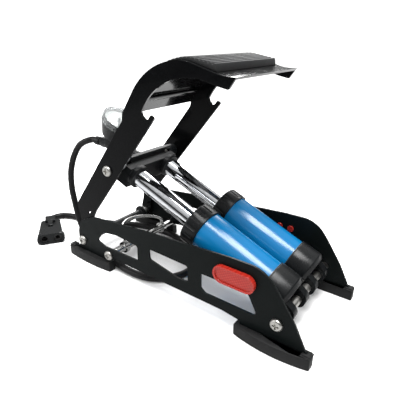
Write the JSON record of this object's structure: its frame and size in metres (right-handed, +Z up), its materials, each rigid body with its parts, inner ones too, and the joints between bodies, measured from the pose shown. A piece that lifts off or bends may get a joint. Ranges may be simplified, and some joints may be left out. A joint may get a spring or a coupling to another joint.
{
  "type": "foot air pump",
  "caption": "Foot-operated air pump with two inclined barrels under a hinged treadle, a pressure gauge, a coiled hose and a twin valve head.",
  "frame": {"origin": "floor point under the treadle hinge, on the plane of symmetry of the frame", "axes": "+X from the treadle hinge towards the front axle of the cylinders, +Y to the left, +Z up"},
  "size_m": [0.4231, 0.1446, 0.2418],
  "materials": {
    "satin_black_sheet": "satin black powder coat",
    "gloss_black_sheet": "gloss black enamel",
    "black_rubber": "moulded black rubber",
    "zinc_screw": "zinc plated",
    "bright_steel": "bright drawn steel",
    "chrome_plate": "polished chrome plate",
    "black_plastic": "moulded black plastic",
    "red_plastic": "red reflector plastic",
    "blue_enamel": "gloss blue enamel",
    "seal_rubber": "soft black rubber",
    "grey_plastic": "moulded grey nylon",
    "white_dial": "printed white dial",
    "clear_plastic": "clear moulded plastic",
    "red_needle": "red needle",
    "brass": "bare brass"
  },
  "bodies": {
    "frame": {"side_plate_right": "satin_black_sheet", "side_plate_left": "satin_black_sheet", "rear_foot_right": "black_rubber", "rear_foot_left": "black_rubber", "front_foot_right": "black_rubber", "front_foot_left": "black_rubber", "frame_screws": "zinc_screw", "hinge_axle": "bright_steel", "rear_tie_rod": "bright_steel", "front_axle": "chrome_plate", "hinge_spacers": "bright_steel", "hinge_washers": "black_plastic", "reflector_right": "red_plastic", "reflector_left": "red_plastic", "air_hose": "black_rubber", "valve_ferrule": "black_plastic", "valve_head_body": "black_plastic", "car_valve_seal": "seal_rubber", "bicycle_valve_seal": "seal_rubber", "lever_pin": "bright_steel"},
    "treadle": {"treadle_channel": "gloss_black_sheet", "tread_pad": "black_rubber", "arm_pivot_screws": "zinc_screw", "arm_pivot_bushes": "black_plastic"},
    "cylinders": {"barrel_right": "blue_enamel", "barrel_left": "blue_enamel", "end_cap_right": "black_plastic", "end_cap_left": "black_plastic", "top_cap_right": "black_plastic", "top_cap_left": "black_plastic", "barrel_gaskets": "seal_rubber", "barrel_bands": "bright_steel", "rod_wipers": "seal_rubber", "return_spring_right": "bright_steel", "return_spring_left": "bright_steel"},
    "crosshead": {"piston_rod_right": "chrome_plate", "piston_rod_left": "chrome_plate", "piston_right": "grey_plastic", "piston_left": "grey_plastic", "piston_rings": "seal_rubber", "crosshead_block": "black_plastic", "check_spring": "bright_steel", "gauge_case": "black_plastic", "gauge_dial": "white_dial", "gauge_lens": "clear_plastic", "bourdon_tube": "brass", "hose_barb": "black_plastic", "crosshead_ferrule": "black_plastic"},
    "needle": {"gauge_needle": "red_needle"},
    "outlet_ball": {"check_ball": "bright_steel"},
    "bail": {"wire_bail": "bright_steel"},
    "lever": {"valve_lever": "black_plastic"}
  },
  "joints": [
    {"name": "treadle_hinge", "type": "hinge", "parent": "frame", "child": "treadle", "pos_m": [0, 0, 0.0255], "axis": [0, 1, 0], "range_deg": [0, 33], "deforming": ["air_hose"]},
    {"name": "cylinder_swing", "type": "hinge", "parent": "frame", "child": "cylinders", "pos_m": [0.2612, 0, 0.0295], "axis": [0, 1, 0], "range_deg": [-8.4, 0]},
    {"name": "rod_slide", "type": "slide", "parent": "cylinders", "child": "crosshead", "axis": [0.921, 0, -0.3896], "range_m": [0, 0.0592], "deforming": ["return_spring_right", "return_spring_left"]},
    {"name": "needle_turn", "type": "hinge", "parent": "crosshead", "child": "needle", "pos_m": [0.02, 0, 0.1686], "axis": [0.5592, 0, 0.829], "range_deg": [-270, 0]},
    {"name": "ball_lift", "type": "slide", "parent": "crosshead", "child": "outlet_ball", "axis": [-0.9793, 0, 0.2022], "range_m": [0, 0.0015], "deforming": ["check_spring"]},
    {"name": "bail_swing", "type": "hinge", "parent": "frame", "child": "bail", "pos_m": [0.0465, 0, 0.02], "axis": [0, 1, 0], "range_deg": [-20, 12]},
    {"name": "valve_lever_hinge", "type": "hinge", "parent": "frame", "child": "lever", "pos_m": [-0.08946, -0.04685, 0.011], "axis": [0.5549, 0.8319, 0], "range_deg": [0, 45]}
  ],
  "couplings": [
    {"joint": "cylinder_swing", "follows": "treadle_hinge", "ratio": -0.25306},
    {"joint": "rod_slide", "follows": "treadle_hinge", "m_per_rad": 0.10247}
  ]
}
